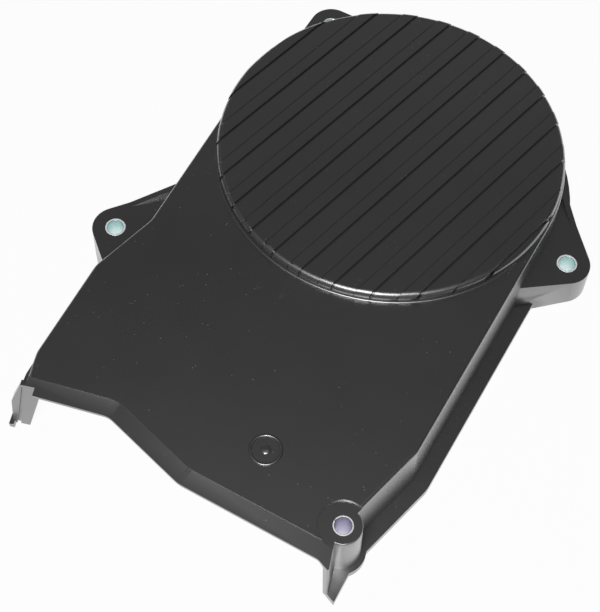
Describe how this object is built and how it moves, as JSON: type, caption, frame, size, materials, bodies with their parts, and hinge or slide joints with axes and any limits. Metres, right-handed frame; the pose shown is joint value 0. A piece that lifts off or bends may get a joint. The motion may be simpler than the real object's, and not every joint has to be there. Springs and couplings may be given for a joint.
{
  "type": "timing cover",
  "caption": "Moulded plastic timing belt cover with a ribbed round front, a flat lower panel open at its end, bolt ears and pressed-in steel sleeves.",
  "frame": {"origin": "on the round disc's axis, in the plane of the mounting face", "axes": "+Z out of the front along the pulley's axis, +Y along the disc's ribs towards the round end, +X to the right"},
  "size_m": [0.2009, 0.2764, 0.0365],
  "materials": {
    "plastic": "black moulded plastic, semi-gloss with a fine grain",
    "zinc": "zinc-plated steel"
  },
  "bodies": {
    "root": {"cover": "plastic", "ear_sleeves": "zinc", "post_sleeve": "zinc"}
  },
  "joints": []
}
